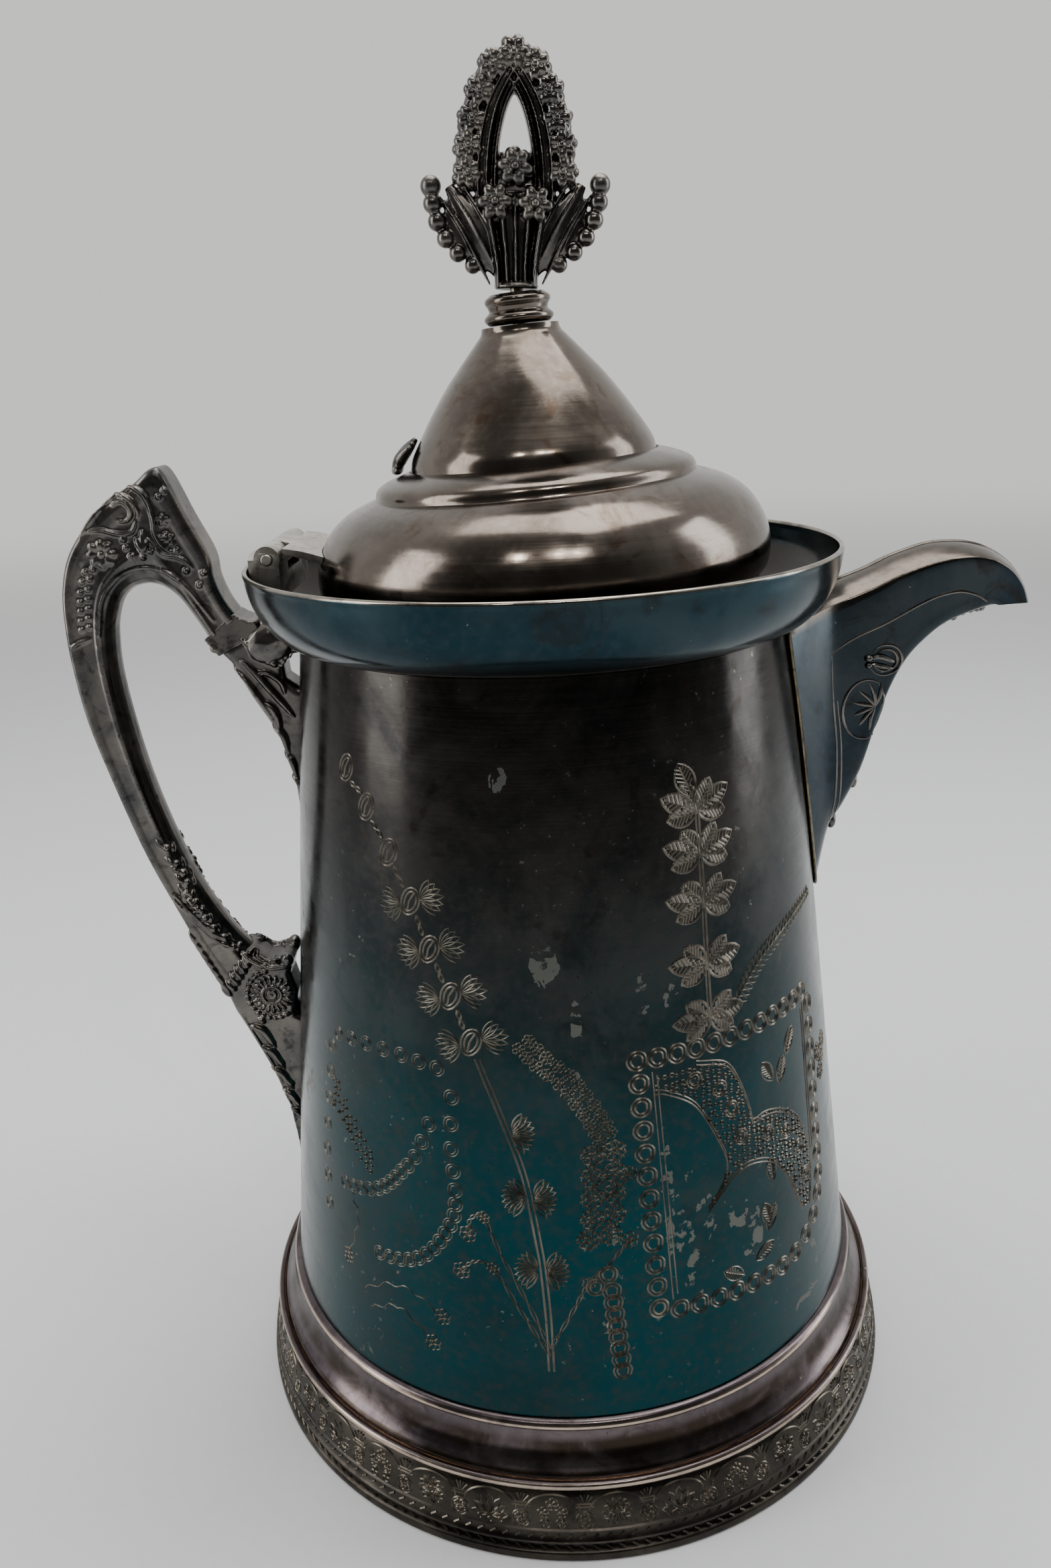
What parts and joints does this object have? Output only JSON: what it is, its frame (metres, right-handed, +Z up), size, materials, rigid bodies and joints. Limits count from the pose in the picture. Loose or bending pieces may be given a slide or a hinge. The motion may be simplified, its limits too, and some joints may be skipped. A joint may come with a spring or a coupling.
{
  "type": "lidded water pitcher",
  "caption": "Tall tapered double-walled metal pitcher with a hinged domed lid, openwork finial, scrolled handle and beaked spout.",
  "frame": {"origin": "centre of the foot's underside, at the bottom of the part", "axes": "+Z up the pitcher's axis, +X towards the spout, -X towards the handle, +Y to the spout's left"},
  "size_m": [0.2412, 0.18, 0.3407],
  "materials": {
    "dark_silver": "dark tarnished silver plate, satin to glossy, engraved",
    "warm_silver": "warm brown-grey tarnished silver plate, satin",
    "cast_silver": "cast relief, dark in the hollows and bright on the edges",
    "foot_silver": "polished cove with brown and lilac tarnish",
    "border_silver": "die-rolled border, dark in the hollows",
    "nickel": "pale grey worn hinge metal",
    "inner_metal": "plain grey inner metal"
  },
  "bodies": {
    "pitcher": {"outer_body": "dark_silver", "gallery_rim": "dark_silver", "foot_moulding": "foot_silver", "foot_band": "border_silver", "base_disc": "dark_silver", "inner_liner": "inner_metal", "lid_seat_ring": "inner_metal", "port_sleeve": "inner_metal", "strainer_plate": "inner_metal", "spout_half_near": "dark_silver", "spout_half_far": "dark_silver", "handle_grip": "cast_silver", "handle_ferrule": "cast_silver", "upper_bracket": "cast_silver", "lower_bracket": "cast_silver", "hinge_body_leaf": "nickel", "hinge_pin": "nickel"},
    "lid": {"lid_dome": "warm_silver", "lid_cone": "warm_silver", "lid_liner": "inner_metal", "lid_ornament": "cast_silver", "hinge_lid_leaf": "nickel", "finial_collar": "warm_silver", "finial_stud": "nickel", "finial_nut": "nickel", "finial": "cast_silver"}
  },
  "joints": [
    {"name": "lid_hinge", "type": "hinge", "parent": "pitcher", "child": "lid", "pos_m": [-0.0645, 0, 0.2302], "axis": [0, -1, 0], "range_deg": [-3.3, 95]}
  ]
}
